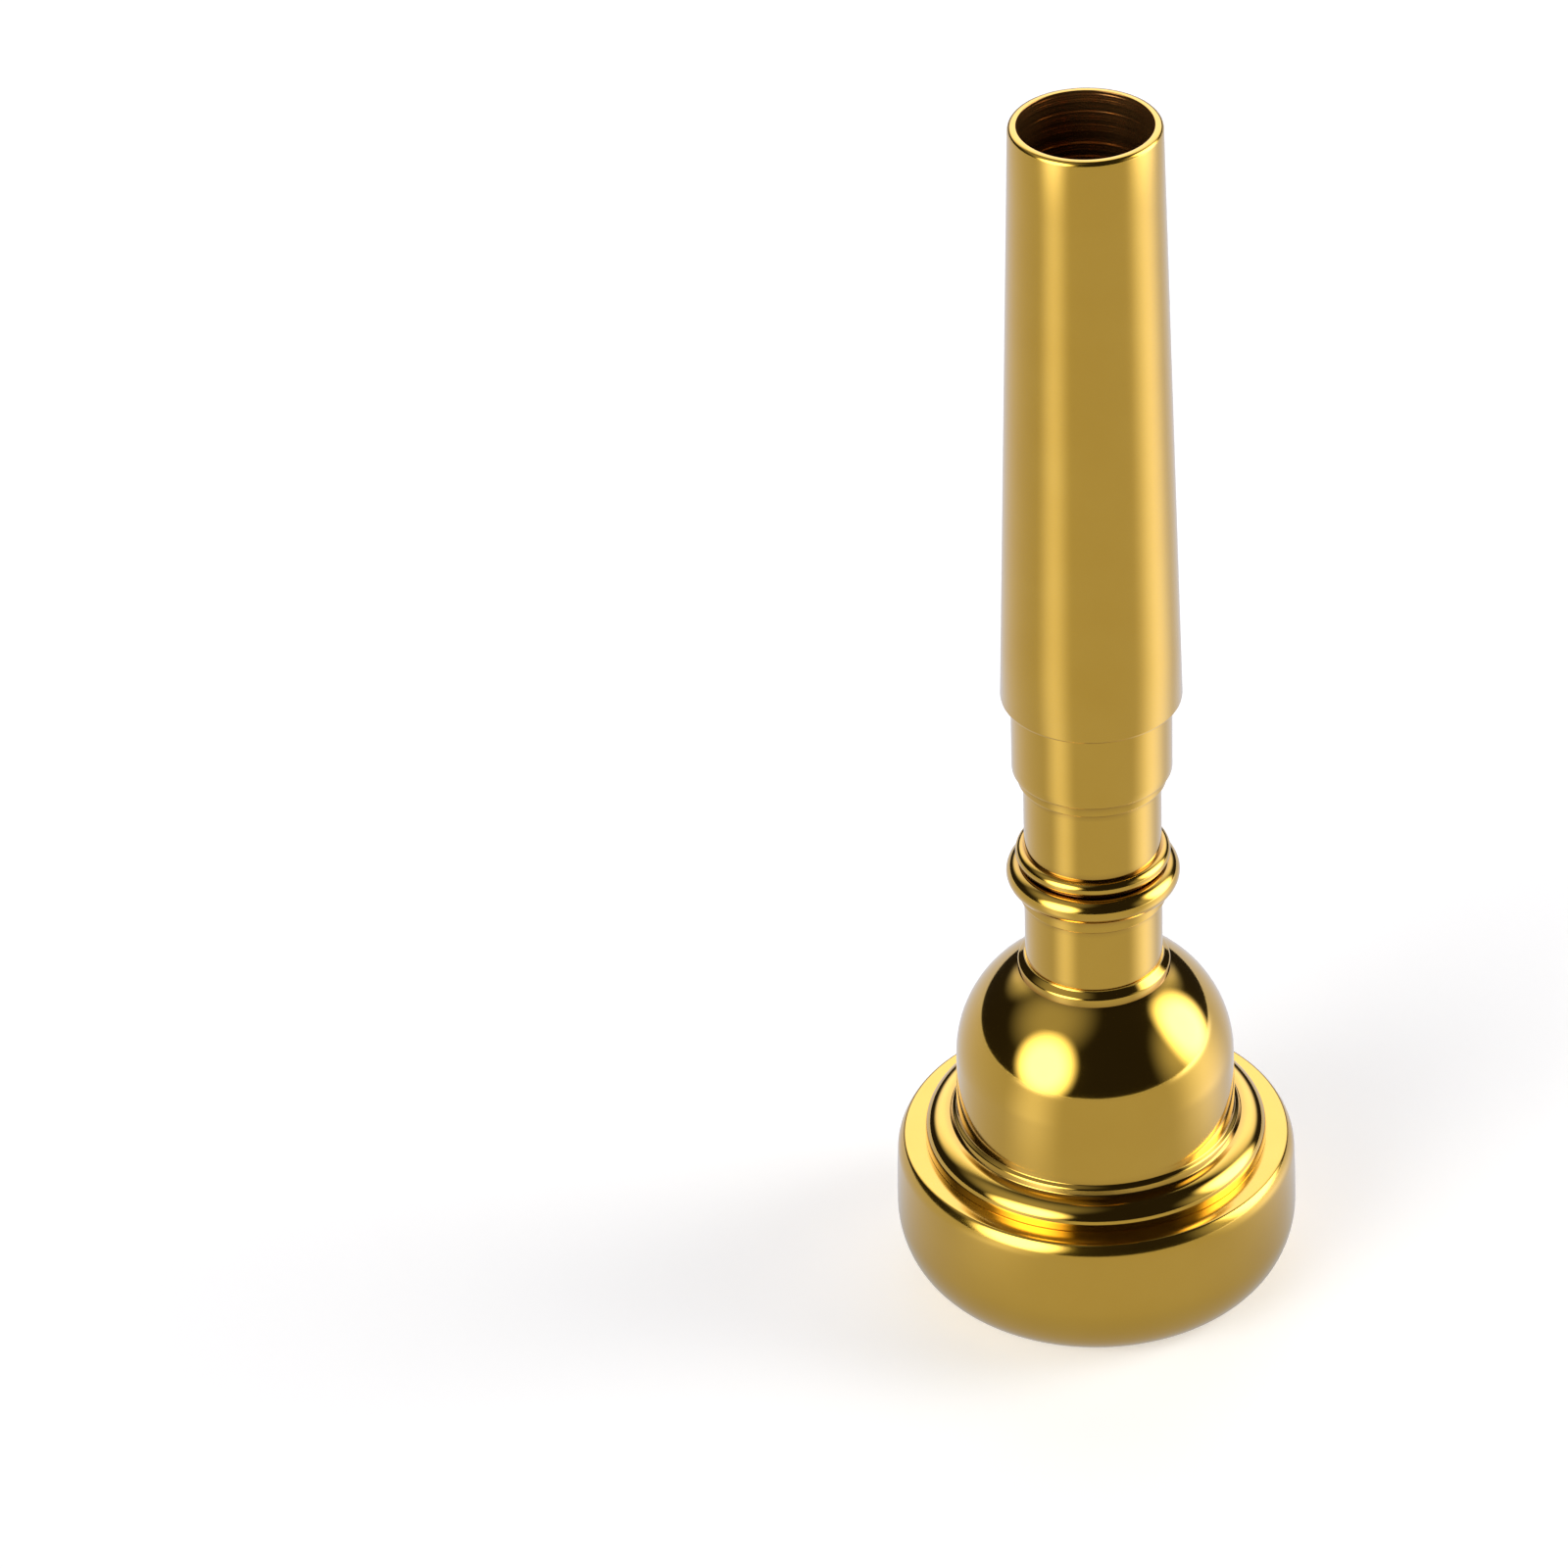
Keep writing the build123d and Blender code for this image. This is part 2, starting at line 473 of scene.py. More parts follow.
def edit_all() -> None:
    """Go into edit mode with everything selected."""
    bpy.ops.object.mode_set(mode="EDIT")
    bpy.ops.mesh.select_all(action="SELECT")


def edit_some(piece: bpy.types.Object, wanted: Callable[[bpy.types.MeshVertex], bool]) -> None:
    """Go into edit mode with only some of the vertices selected.

    Args:
        piece: the piece to edit.
        wanted: tells whether a vertex is one of them.
    """
    bpy.ops.object.mode_set(mode="EDIT")
    bpy.ops.mesh.select_all(action="DESELECT")
    bpy.ops.object.mode_set(mode="OBJECT")
    for vertex in piece.data.vertices:
        vertex.select = wanted(vertex)
    bpy.ops.object.mode_set(mode="EDIT")


def edge_length(piece: bpy.types.Object, edge: bpy.types.MeshEdge) -> float:
    """Length of one of a piece's edges."""
    first, last = (piece.data.vertices[index].co for index in edge.vertices)
    return (first - last).length


def arc_steps(sweep_deg: float, radius: float) -> int:
    """How many straight steps stand for an arc, so that it shows no flats.

    Args:
        sweep_deg: the arc's angle.
        radius: its radius in millimetres.

    Returns:
        The number of steps.
    """
    by_angle = abs(sweep_deg) / ARC_STEP_DEG
    by_length = math.radians(abs(sweep_deg)) * abs(radius) / ARC_CHORD_MM
    return max(2, math.ceil(max(by_angle, by_length)))


def tangent_arc(start: Point, heading: Point, end: Point) -> tuple[list[Point], Point]:
    """Points of the arc that leaves start along heading and ends at end.

    Args:
        start: the first point, which the result leaves out.
        heading: direction at the first point.
        end: the last point.

    Returns:
        The points after start, and the direction at the end.
    """
    step = Vector((end[0] - start[0], end[1] - start[1]))
    ahead = Vector(heading).normalized()
    left = Vector((-ahead.y, ahead.x))
    offset = left.dot(step)
    radius = step.length_squared / (2 * offset)
    centre = Vector(start) + left * radius
    first = Vector(start) - centre
    last = Vector(end) - centre
    sweep = math.copysign(first.angle(last), radius)
    count = arc_steps(math.degrees(sweep), radius)
    points = []
    for index in range(1, count + 1):
        spoke = Matrix.Rotation(sweep * index / count, 2) @ first
        points.append((centre.x + spoke.x, centre.y + spoke.y))
    final = Matrix.Rotation(sweep, 2) @ ahead
    return points, (final.x, final.y)


class Outline:
    """Half-section of a turned piece, as (radius, height) points in millimetres."""

    def __init__(self, start: Point) -> None:
        """Begin the outline.

        Args:
            start: its first point.
        """
        self.points: list[Point] = [start]
        self.eased: list[tuple[Point, float]] = []
        self.heading: Point = UP

    def to(self, radius: float, height: float, ease: float = 0.0) -> "Outline":
        """Go straight to a point.

        Args:
            radius: distance from the axis.
            height: height above the rim's plane.
            ease: how far back from the corner its rounding starts, or 0 for none.

        Returns:
            The outline itself.
        """
        last = self.points[-1]
        self.heading = (radius - last[0], height - last[1])
        self.points.append((radius, height))
        if ease:
            self.eased.append(((radius, height), ease))
        return self

    def bend(
        self, radius: float, height: float, heading: Point | None = None, ease: float = 0.0
    ) -> "Outline":
        """Go to a point on an arc.

        Args:
            radius: distance of the arc's end from the axis.
            height: height of the arc's end.
            heading: direction in which the arc leaves, or None for the outline's own.
            ease: how far back from the arc's end its corner is rounded, or 0 for none.

        Returns:
            The outline itself.
        """
        start = self.points[-1]
        found, self.heading = tangent_arc(start, heading or self.heading, (radius, height))
        self.points.extend(found[:-1])
        self.points.append((radius, height))
        if ease:
            self.eased.append(((radius, height), ease))
        return self

    def oval(self, centre: Point, half: Point, start_deg: float, end_deg: float) -> "Outline":
        """Go round part of an ellipse.

        Args:
            centre: the ellipse's centre.
            half: its half widths, across and up.
            start_deg: angle of the first point, from straight outwards.
            end_deg: angle of the last point.

        Returns:
            The outline itself.
        """
        count = arc_steps(end_deg - start_deg, max(half))
        for index in range(count + 1):
            angle = math.radians(start_deg + (end_deg - start_deg) * index / count)
            across, up = half[0] * math.cos(angle), half[1] * math.sin(angle)
            point = (centre[0] + across, centre[1] + up)
            if (Vector(point) - Vector(self.points[-1])).length > SAME_POINT_MM:
                self.points.append(point)
        return self

    def bead(
        self, reach: float, section: float, middle: float, low: float, high: float
    ) -> "Outline":
        """Go over a round bead that stands out of a wall.

        Args:
            reach: the bead's outer radius.
            section: radius of the bead's own round section.
            middle: height of its centre.
            low: the wall's radius below it.
            high: the wall's radius above it.

        Returns:
            The outline itself.
        """
        centre = reach - section
        start = -math.degrees(math.acos((low - centre) / section))
        end = math.degrees(math.acos((high - centre) / section))
        return self.oval((centre, middle), (section, section), start, end)

    def groove(self, wall: float, floor: float, middle: float, half_width: float) -> "Outline":
        """Go down into and out of a square seal groove, on the way up.

        Args:
            wall: the wall's radius.
            floor: the radius of the groove's floor.
            middle: height of the groove's middle.
            half_width: half its width.

        Returns:
            The outline itself.
        """
        low, high = middle - half_width, middle + half_width
        for radius, height in ((wall, low), (floor, low), (floor, high), (wall, high)):
            self.to(radius, height, EDGE_BREAK_MM)
        return self


class Lathe:
    """Turns outlines into finished meshes."""

    def __init__(self, body: str) -> None:
        """Remember which body the pieces ride on.

        Args:
            body: the CAD body's name.
        """
        self.body = body

    def draw(self, name: str, outline: Outline) -> bpy.types.Object:
        """Draw the outline as a closed wire by extruding one vertex from corner to corner.

        Args:
            name: the piece's name.
            outline: its half-section.

        Returns:
            The wire.
        """
        deselect_all()
        bpy.ops.mesh.primitive_plane_add(size=1.0, location=CENTRE)
        piece = begin(name)
        edit_all()
        bpy.ops.mesh.merge(type="CENTER")
        last = outline.points[0]
        bpy.ops.transform.translate(value=(last[0], 0.0, last[1]))
        for point in outline.points[1:]:
            step = (point[0] - last[0], 0.0, point[1] - last[1])
            bpy.ops.mesh.extrude_region_move(TRANSFORM_OT_translate={"value": step})
            last = point
        bpy.ops.object.mode_set(mode="OBJECT")
        ends = (0, len(piece.data.vertices) - 1)
        edit_some(piece, lambda vertex: vertex.index in ends)
        bpy.ops.mesh.edge_face_add()
        bpy.ops.object.mode_set(mode="OBJECT")
        return piece

    def ease_corners(self, piece: bpy.types.Object, outline: Outline) -> None:
        """Round the outline's marked corners with a vertex bevel.

        Args:
            piece: the wire.
            outline: the outline, with its marks.
        """
        for width in sorted({ease for _, ease in outline.eased}):
            corners = [
                Vector((spot[0], 0.0, spot[1])) for spot, ease in outline.eased if ease == width
            ]
            edit_some(
                piece,
                lambda vertex: any((vertex.co - spot).length < SAME_POINT_MM for spot in corners),
            )
            bpy.ops.mesh.bevel(offset=width, segments=EASE_SEGMENTS, affect="VERTICES")
            bpy.ops.object.mode_set(mode="OBJECT")

    def hold_flats(self, piece: bpy.types.Object) -> None:
        """Split long straight edges, so that the walls beside a rounding stay true.

        Args:
            piece: the wire.
        """
        piece.data.update()
        long_edges = [
            edge.index for edge in piece.data.edges if edge_length(piece, edge) > LONG_EDGE_MM
        ]
        bpy.ops.object.mode_set(mode="EDIT")
        bpy.ops.mesh.select_mode(type="EDGE")
        bpy.ops.mesh.select_all(action="DESELECT")
        bpy.ops.object.mode_set(mode="OBJECT")
        for index in long_edges:
            piece.data.edges[index].select = True
        bpy.ops.object.mode_set(mode="EDIT")
        bpy.ops.mesh.subdivide(number_cuts=LONG_EDGE_CUTS)
        bpy.ops.mesh.select_mode(type="VERT")
        bpy.ops.object.mode_set(mode="OBJECT")

    def turn(self, name: str, outline: Outline) -> bpy.types.Object:
        """Spin an outline about the axis into a closed, smooth piece at its real size.

        Args:
            name: the piece's name.
            outline: its half-section, as a closed loop.

        Returns:
            The finished mesh object at the origin.
        """
        piece = self.draw(name, outline)
        self.ease_corners(piece, outline)
        self.hold_flats(piece)
        edit_all()
        bpy.ops.mesh.spin(steps=TURN_STEPS, angle=math.tau, center=CENTRE, axis=(0.0, 0.0, 1.0))
        bpy.ops.mesh.select_all(action="SELECT")
        bpy.ops.mesh.remove_doubles(threshold=SAME_POINT_MM)
        bpy.ops.mesh.normals_make_consistent(inside=False)
        bpy.ops.object.mode_set(mode="OBJECT")
        return self.settle(piece)

    def settle(self, piece: bpy.types.Object) -> bpy.types.Object:
        """Bring a piece from millimetres to its real size, smooth it and put it on its body.

        Args:
            piece: the piece in millimetres.

        Returns:
            The same piece.
        """
        make_active(piece)
        piece.scale = (MM, MM, MM)
        bpy.ops.object.transform_apply(location=True, rotation=True, scale=True)
        bpy.ops.object.shade_smooth_by_angle(angle=math.radians(SMOOTH_DEG))
        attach(piece, self.body)
        return piece

    def dress(
        self,
        piece: bpy.types.Object,
        outside: bpy.types.Material,
        bore: bpy.types.Material | None = None,
        bore_from: float = 0.0,
    ) -> None:
        """Give a piece its outside finish, and the bore's finish where its faces look at the axis.

        Args:
            piece: the turned piece.
            outside: finish of the outside.
            bore: finish of the inside, where it has its own.
            bore_from: height in millimetres above which the inside has the bore's finish.
        """
        piece.data.materials.append(outside)
        if bore is not None:
            piece.data.materials.append(bore)
            for face in piece.data.polygons:
                across = Vector((face.center.x, face.center.y, 0.0)).normalized()
                inward = face.normal.dot(across) < -INWARD_SHARE
                is_bore = inward and face.center.z > bore_from * MM
                face.material_index = Side.BORE.value if is_bore else Side.OUTSIDE.value


@dataclass
class Thread:
    """Helical ridge round a spigot, in millimetres."""

    root: float
    crest: float
    low: float
    high: float
    pitch: float = 0.75
    crest_width: float = 0.1
    flank_deg: float = 30.0

    @property
    def depth(self) -> float:
        """How far the ridge stands out."""
        return self.crest - self.root

    @property
    def root_width(self) -> float:
        """Width of the ridge at its root."""
        return self.crest_width + 2 * self.depth * math.tan(math.radians(self.flank_deg))

    def section(self, name: str) -> bpy.types.Object:
        """Cut the ridge's four-sided section at its lower end.

        Args:
            name: the piece's name.

        Returns:
            The section, as a closed wire.
        """
        deselect_all()
        bpy.ops.mesh.primitive_plane_add(
            size=1.0, location=CENTRE, rotation=(math.pi / 2, 0.0, 0.0)
        )
        ridge = begin(name)
        bpy.ops.object.transform_apply(location=True, rotation=True, scale=True)
        edit_all()
        bpy.ops.transform.resize(value=(self.depth, 1.0, self.root_width))
        bpy.ops.mesh.delete(type="ONLY_FACE")
        edit_some(ridge, lambda vertex: vertex.co.x > 0)
        bpy.ops.transform.resize(value=(1.0, 1.0, self.crest_width / self.root_width))
        bpy.ops.mesh.select_all(action="SELECT")
        bpy.ops.transform.translate(value=((self.crest + self.root) / 2, 0.0, self.low))
        bpy.ops.object.mode_set(mode="OBJECT")
        return ridge

    def build(self, name: str, lathe: Lathe) -> bpy.types.Object:
        """Screw the section up the spigot and close both ends.

        Args:
            name: the piece's name.
            lathe: the lathe that settles the piece on its body.

        Returns:
            The finished ridge.
        """
        ridge = self.section(name)
        make_active(ridge)
        turns = (self.high - self.low) / self.pitch
        screw = ridge.modifiers.new("Screw", "SCREW")
        screw.axis = "Z"
        screw.angle = math.tau * turns
        screw.screw_offset = self.high - self.low
        screw.steps = math.ceil(turns * TURN_STEPS / 2)
        screw.render_steps = screw.steps
        screw.use_smooth_shade = True
        bpy.ops.object.modifier_apply(modifier=screw.name)
        bpy.ops.object.mode_set(mode="EDIT")
        bpy.ops.mesh.select_all(action="DESELECT")
        bpy.ops.mesh.select_non_manifold()
        bpy.ops.mesh.fill_holes(sides=4)
        bpy.ops.mesh.select_all(action="SELECT")
        bpy.ops.mesh.normals_make_consistent(inside=False)
        bpy.ops.object.mode_set(mode="OBJECT")
        return lathe.settle(ridge)


@dataclass
class Seal:
    """O-ring in its groove, in millimetres."""

    radius: float
    section: float
    height: float
    flash: float = 0.012

    def build(
        self, name: str, node: str, lathe: Lathe, rubber: bpy.types.Material
    ) -> bpy.types.Object:
        """Make the ring with the fine flash line that its mould leaves.

        Args:
            name: the piece's name.
            node: the CAD node that it stands for.
            lathe: the lathe that settles the piece on its body.
            rubber: its finish.

        Returns:
            The finished ring.
        """
        deselect_all()
        bpy.ops.mesh.primitive_torus_add(
            location=(0.0, 0.0, self.height),
            major_radius=self.radius,
            minor_radius=self.section - self.flash,
            major_segments=TURN_STEPS,
            minor_segments=SEAL_STEPS,
        )
        ring = begin(name)
        bpy.ops.object.transform_apply(location=True, rotation=True, scale=True)
        reach = self.radius + self.section - self.flash
        edit_some(ring, lambda vertex: vertex.co.xy.length > reach - SAME_POINT_MM)
        wider = 1 + self.flash / reach
        bpy.ops.transform.resize(value=(wider, wider, 1.0))
        bpy.ops.object.mode_set(mode="OBJECT")
        lathe.settle(ring)
        ring.data.materials.append(rubber)
        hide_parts(node)
        return ring


# ---------------------------------------------------------------------------
# The four turned pieces, in millimetres
# ---------------------------------------------------------------------------


def top_of(node: str) -> float:
    """Height of a CAD node's top, in millimetres."""
    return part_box(node)[1].z / MM


def foot_of(node: str) -> float:
    """Height of a CAD node's foot, in millimetres."""
    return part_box(node)[0].z / MM


def reach_of(node: str) -> float:
    """Outer radius of a CAD node, in millimetres."""
    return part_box(node)[1].x / MM


@dataclass
class Bore:
    """The air way: cup, throat and backbore, which three pieces share."""

    throat: float = 1.83
    throat_top: float = 15.5
    exit: float = 4.3
    exit_height: float = field(default_factory=lambda: top_of("shank_sleeve"))
    flare: float = 0.8
    cup_width: float = 8.05
    cup_middle: float = 2.6
    cup_floor: float = 11.2

    def cup_wall(self, height: float) -> float:
        """Radius of the cup at a height."""
        rise = (height - self.cup_middle) / (self.cup_floor - self.cup_middle)
        return self.cup_width * math.sqrt(1 - rise**2)

    def backbore(self, height: float) -> float:
        """Radius of the backbore at a height."""
        share = (height - self.throat_top) / (self.exit_height - self.throat_top)
        return self.throat + (self.exit - self.throat) * share**self.flare

    def down(self, outline: Outline, high: float, low: float, steps: int = 16) -> Outline:
        """Follow the backbore down.

        Args:
            outline: the outline so far.
            high: the height to start from.
            low: the height to end at.
            steps: how many straight steps stand for it.

        Returns:
            The same outline.
        """
        for index in range(steps + 1):
            height = high + (low - high) * index / steps
            outline.to(self.backbore(height), height)
        return outline


@dataclass
class ScrewFit:
    """Radii and heights of a threaded spigot in its socket."""

    crest: float
    spigot_end: float
    seat: float
    seal_section: float
    thread_depth: float = 0.43
    pilot_step: float = 0.06
    pilot_length: float = 2.3
    plain_bore: float = 1.05
    clearance: float = 0.05
    pilot_clearance: float = 0.04
    mouth_chamfer: float = 0.3
    lead_in: float = 0.2
    seal_from_end: float = 0.75
    seal_side_gap: float = 0.08
    seal_clearance: float = 0.02
    thread_start: float = 0.3
    relief: float = 0.9

    @property
    def root(self) -> float:
        """Radius at the bottom of the thread's groove."""
        return self.crest - self.thread_depth

    @property
    def pilot(self) -> float:
        """Radius of the plain pilot below the thread."""
        return self.root - self.pilot_step

    @property
    def thread_low(self) -> float:
        """Height where the thread starts."""
        return self.spigot_end + self.pilot_length

    @property
    def seal_height(self) -> float:
        """Height of the O-ring."""
        return self.spigot_end + self.seal_from_end

    @property
    def seal_radius(self) -> float:
        """Radius of the O-ring's middle."""
        return self.pilot + self.pilot_clearance - self.seal_clearance - self.seal_section

    @property
    def seal_floor(self) -> float:
        """Radius of the seal groove's floor."""
        return self.seal_radius - self.seal_section - self.seal_clearance

    def up_spigot(self, outline: Outline) -> Outline:
        """Follow the spigot from its end up to the seat, with the thread's ridge left off.

        Args:
            outline: the outline so far.

        Returns:
            The same outline.
        """
        seal_half = self.seal_section + self.seal_side_gap
        outline.to(self.pilot - self.lead_in, self.spigot_end, EDGE_BREAK_MM)
        outline.to(self.pilot, self.spigot_end + self.lead_in, EDGE_BREAK_MM)
        outline.groove(self.pilot, self.seal_floor, self.seal_height, seal_half)
        outline.to(self.pilot, self.thread_low, EDGE_BREAK_MM)
        outline.to(self.root, self.thread_low + self.pilot_step, EDGE_BREAK_MM)
        return outline.to(self.root, self.seat, EDGE_BREAK_MM)

    def down_socket(self, outline: Outline) -> Outline:
        """Follow the socket from the seat down to its floor.

        Args:
            outline: the outline so far.

        Returns:
            The same outline.
        """
        bore = self.crest + self.clearance
        pilot_bore = self.pilot + self.pilot_clearance
        step = self.thread_low - self.plain_bore
        outline.to(bore + self.mouth_chamfer, self.seat, EDGE_BREAK_MM)
        outline.to(bore, self.seat - self.mouth_chamfer, EDGE_BREAK_MM)
        outline.to(bore, step + bore - pilot_bore, EDGE_BREAK_MM)
        outline.to(pilot_bore, step, EDGE_BREAK_MM)
        return outline.to(pilot_bore, self.spigot_end - self.clearance)

    def thread(self) -> Thread:
        """The ridge that the spigot carries, which stops short of the seat."""
        low = self.thread_low + self.thread_start
        return Thread(self.root, self.crest, low, self.seat - self.relief)

    def seal(self) -> Seal:
        """The O-ring on the pilot."""
        return Seal(self.seal_radius, self.seal_section, self.seal_height)


@dataclass
class Rim:
    """Crowned rim with its outer band, and the socket that the cup screws into."""

    fit: ScrewFit
    bore: Bore
    outer: float = field(default_factory=lambda: reach_of("rim"))
    height: float = field(default_factory=lambda: top_of("rim"))
    widest: float = 4.6
    crown: float = 10.0
    bite: float = 8.1
    bite_height: float = 1.3
    lip: float = 3.6
    band_top: float = 13.33
    corner: Point = (0.48, 1.2)
    corner_break: float = 0.12

    def outline(self) -> Outline:
        """Draw the rim's half-section.

        Returns:
            The closed outline.
        """
        line = Outline((self.crown, 0.0))
        line.oval((self.crown, self.widest), (self.outer - self.crown, self.widest), -90, 0)
        line.bend(self.band_top, self.height - self.corner[1], UP)
        line.bend(self.band_top - self.corner[0], self.height, ease=self.corner_break)
        self.fit.down_socket(line)
        line.to(self.bore.cup_wall(self.lip), self.lip, EDGE_BREAK_MM)
        line.to(self.bite, self.bite_height)
        bite_half = (self.crown - self.bite, self.bite_height)
        return line.oval((self.crown, self.bite_height), bite_half, 180, 270 - ARC_STEP_DEG)

    def build(self, finishes: Finishes) -> list[bpy.types.Object]:
        """Turn the rim and give it its finish.

        Args:
            finishes: the object's materials.

        Returns:
            The rim.
        """
        lathe = Lathe("rim")
        rim = lathe.turn("turned_rim", self.outline())
        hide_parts("rim")
        lathe.dress(rim, finishes.rim_gold)
        return [rim]


@dataclass
class Cup:
    """Bowl with its stepped foot and bevelled collar, and the cup inside; screws into the rim."""

    rim_fit: ScrewFit
    stem_fit: ScrewFit
    bore: Bore
    foot: float = field(default_factory=lambda: reach_of("cup"))
    foot_height: float = field(default_factory=lambda: top_of("rim"))
    foot_edge: float = 0.5
    foot_round: Point = (1.4, 1.2)
    foot_step: Point = (0.41, 0.45)
    foot_step_taper: float = 0.15
    bowl_foot: float = 9.34
    bowl_foot_height: float = 2.3
    bowl: float = 9.26
    bowl_wall: float = 4.2
    bowl_shoulder: float = 7.2
    collar: float = 5.06
    collar_band: float = 0.58
    collar_bevel: float = 0.39
    collar_lip: float = 4.62
    foot_break: float = 0.05
    floor_break: float = 0.05
    step_break: float = 0.07
    band_break: float = 0.09
    lip_break: float = 0.06
    entry: Point = (1.1, 0.9)

    def outline(self) -> Outline:
        """Draw the cup's half-section.

        Returns:
            The closed outline.
        """
        edge = self.foot_height + self.foot_edge
        ledge = edge + self.foot_round[1]
        bowl_low = self.foot_height + self.bowl_foot_height
        shoulder = bowl_low + self.bowl_wall
        collar = shoulder + self.bowl_shoulder
        band = collar + self.collar_band
        step = self.bowl_foot + self.foot_step[0]
        line = Outline((self.bore.cup_wall(self.rim_fit.spigot_end), self.rim_fit.spigot_end))
        self.rim_fit.up_spigot(line)
        line.to(self.foot, self.foot_height, self.foot_break)
        line.to(self.foot, edge)
        line.oval((self.foot - self.foot_round[0], edge), self.foot_round, 0, 90)
        line.to(step, ledge, self.foot_break)
        line.to(step - self.foot_step_taper, ledge + self.foot_step[1], self.step_break)
        line.to(self.bowl_foot, bowl_low, self.foot_break)
        line.to(self.bowl, shoulder)
        line.bend(self.collar, collar, UP)
        line.to(self.collar, band, self.band_break)
        line.to(self.collar_lip, band + self.collar_bevel, self.lip_break)
        line.to(self.collar_lip, top_of("cup"), EDGE_BREAK_MM)
        self.stem_fit.down_socket(line)
        floor = self.stem_fit.spigot_end - self.stem_fit.clearance
        line.to(self.bore.backbore(floor), floor, self.floor_break)
        line.to(self.bore.throat, self.bore.throat_top)
        return self.down_cup(line)

    def down_cup(self, line: Outline) -> Outline:
        """Follow the throat, its rounded entry and the cup's wall down to the spigot's end.

        Args:
            line: the outline so far.

        Returns:
            The same outline.
        """
        bore = self.bore
        depth = bore.cup_floor - bore.cup_middle
        entry = bore.throat + self.entry[0]
        start = math.acos(entry / bore.cup_width)
        end = math.asin((self.rim_fit.spigot_end - bore.cup_middle) / depth)
        line.to(bore.throat, bore.cup_floor + self.entry[1])
        line.bend(entry, bore.cup_middle + depth * math.sin(start), DOWN)
        return line.oval(
            (0.0, bore.cup_middle),
            (bore.cup_width, depth),
            math.degrees(start),
            math.degrees(end) + ARC_STEP_DEG / 2,
        )

    def build(self, finishes: Finishes) -> list[bpy.types.Object]:
        """Turn the cup, cut its thread and give both their finish.

        Args:
            finishes: the object's materials.

        Returns:
            The cup and its thread's ridge.
        """
        lathe = Lathe("cup")
        cup = lathe.turn("turned_cup", self.outline())
        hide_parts("cup")
        lathe.dress(cup, finishes.bowl_gold, finishes.bored_brass, self.bore.cup_floor)
        ridge = self.rim_fit.thread().build("cup_thread", lathe)
        lathe.dress(ridge, finishes.neck_gold)
        return [cup, ridge]


@dataclass
class Stem:
    """Beaded neck with its steps, and the core tube that the sleeve slides over."""

    fit: ScrewFit
    bore: Bore
    neck: float = 4.55
    neck_length: float = 4.75
    bead_foot: float = 4.85
    bead_foot_height: float = 1.0
    bead_reach: float = field(default_factory=lambda: reach_of("backbore"))
    bead_section: float = 0.92
    small_reach: float = 5.1
    small_section: float = 0.52
    small_spacing: float = 1.56
    upper_neck: float = 4.52
    upper_length: float = 5.8
    step: float = 4.9
    step_height: float = 0.85
    shoulder: float = 5.25
    core: float = 4.4
    ring_sink: float = 0.05
    seal_height: float = 6.8
    seal_section: float = 0.2
    seal_radius: float = 4.21
    seal_floor: float = 3.99
    seal_side_gap: float = 0.08
    base_break: float = 0.05
    foot_break: float = 0.1
    step_break: float = 0.14
    shoulder_break: float = 0.16
    end_break: float = 0.1

    def outline(self) -> Outline:
        """Draw the stem's half-section.

        Returns:
            The closed outline.
        """
        seat = top_of("cup")
        neck_top = seat + self.neck_length
        foot_top = neck_top + self.bead_foot_height
        bead = foot_top + self.bead_section - self.ring_sink
        small = bead + self.small_spacing
        step = small + self.upper_length
        shoulder = step + self.step_height
        base = foot_of("shank_sleeve")
        end = top_of("backbore")
        seal_half = self.seal_section + self.seal_side_gap
        line = Outline((self.bore.backbore(self.fit.spigot_end), self.fit.spigot_end))
        self.fit.up_spigot(line)
        line.to(self.neck, seat, self.base_break)
        line.to(self.neck, neck_top, EDGE_BREAK_MM)
        line.to(self.bead_foot, neck_top, self.foot_break)
        line.bead(self.bead_reach, self.bead_section, bead, self.bead_foot, self.upper_neck)
        line.bead(self.small_reach, self.small_section, small, self.upper_neck, self.upper_neck)
        line.to(self.upper_neck, step, EDGE_BREAK_MM)
        line.to(self.step, step, self.step_break)
        line.to(self.step, shoulder, EDGE_BREAK_MM)
        line.to(self.shoulder, shoulder, self.shoulder_break)
        line.to(self.shoulder, base, self.base_break)
        line.to(self.core, base, EDGE_BREAK_MM)
        line.groove(self.core, self.seal_floor, base + self.seal_height, seal_half)
        line.to(self.core, end, self.end_break)
        self.bore.down(line, end, self.fit.spigot_end)
        line.points.pop()
        return line

    def build(self, finishes: Finishes) -> list[bpy.types.Object]:
        """Turn the stem, cut its thread, add the sleeve's seal and give all three their finish.

        Args:
            finishes: the object's materials.

        Returns:
            The stem, its thread's ridge and the sleeve's seal.
        """
        lathe = Lathe("stem")
        stem = lathe.turn("turned_stem", self.outline())
        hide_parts("backbore")
        lathe.dress(stem, finishes.neck_gold, finishes.bored_brass)
        ridge = self.fit.thread().build("stem_thread", lathe)
        lathe.dress(ridge, finishes.neck_gold)
        height = foot_of("shank_sleeve") + self.seal_height
        seal = Seal(self.seal_radius, self.seal_section, height)
        ring = seal.build("sleeve_o_ring", "sleeve_seal", lathe, finishes.rubber)
        return [stem, ridge, ring]


